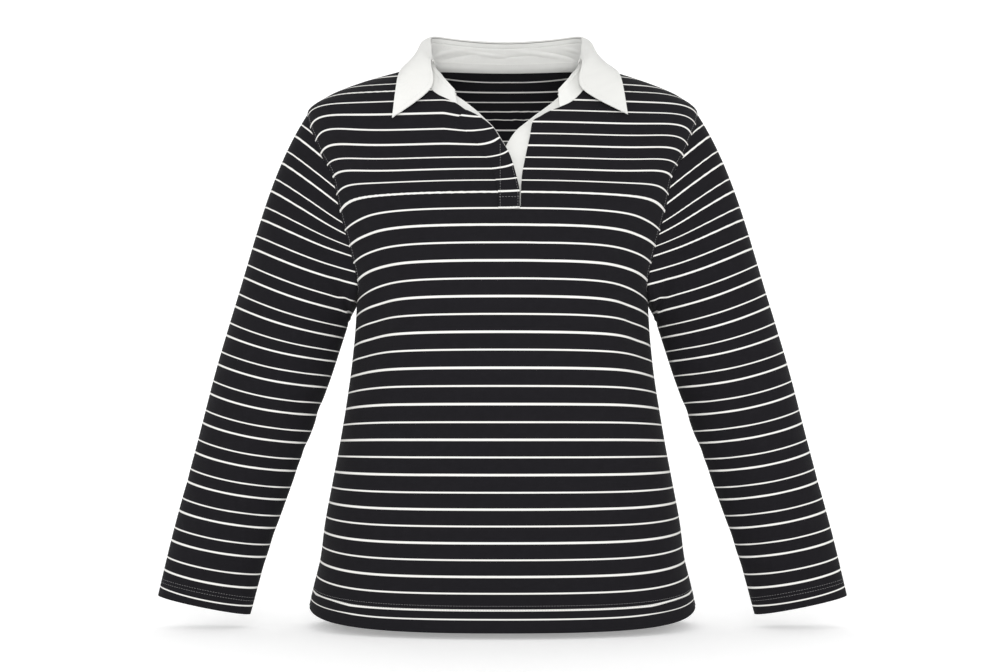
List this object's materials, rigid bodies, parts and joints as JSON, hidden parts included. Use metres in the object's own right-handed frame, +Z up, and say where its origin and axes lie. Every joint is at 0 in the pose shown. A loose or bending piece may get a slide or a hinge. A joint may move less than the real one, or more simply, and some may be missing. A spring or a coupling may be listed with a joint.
{
  "type": "striped polo shirt",
  "caption": "Long-sleeved striped polo shirt with a turned-down white collar and an open placket, hollow and filled out as when worn.",
  "frame": {"origin": "middle of the shoulders, where the wearer's shoulders carry the shirt", "axes": "+X towards the wearer's left sleeve, -Y out of the front, +Z up"},
  "size_m": [0.81, 0.2306, 0.7002],
  "materials": {
    "striped_jersey": "matte black knitted jersey with narrow white stripes",
    "white_twill": "matte white twill",
    "white_tape": "matte white woven tape"
  },
  "bodies": {
    "root": {"front": "striped_jersey", "back": "striped_jersey", "sleeve_right": "striped_jersey", "sleeve_left": "striped_jersey", "placket_overlap": "striped_jersey", "collar_stand": "white_twill", "collar_leaf": "white_twill", "placket_underlap": "white_twill", "neck_tape": "white_tape", "placket_facing": "white_tape"}
  },
  "joints": []
}
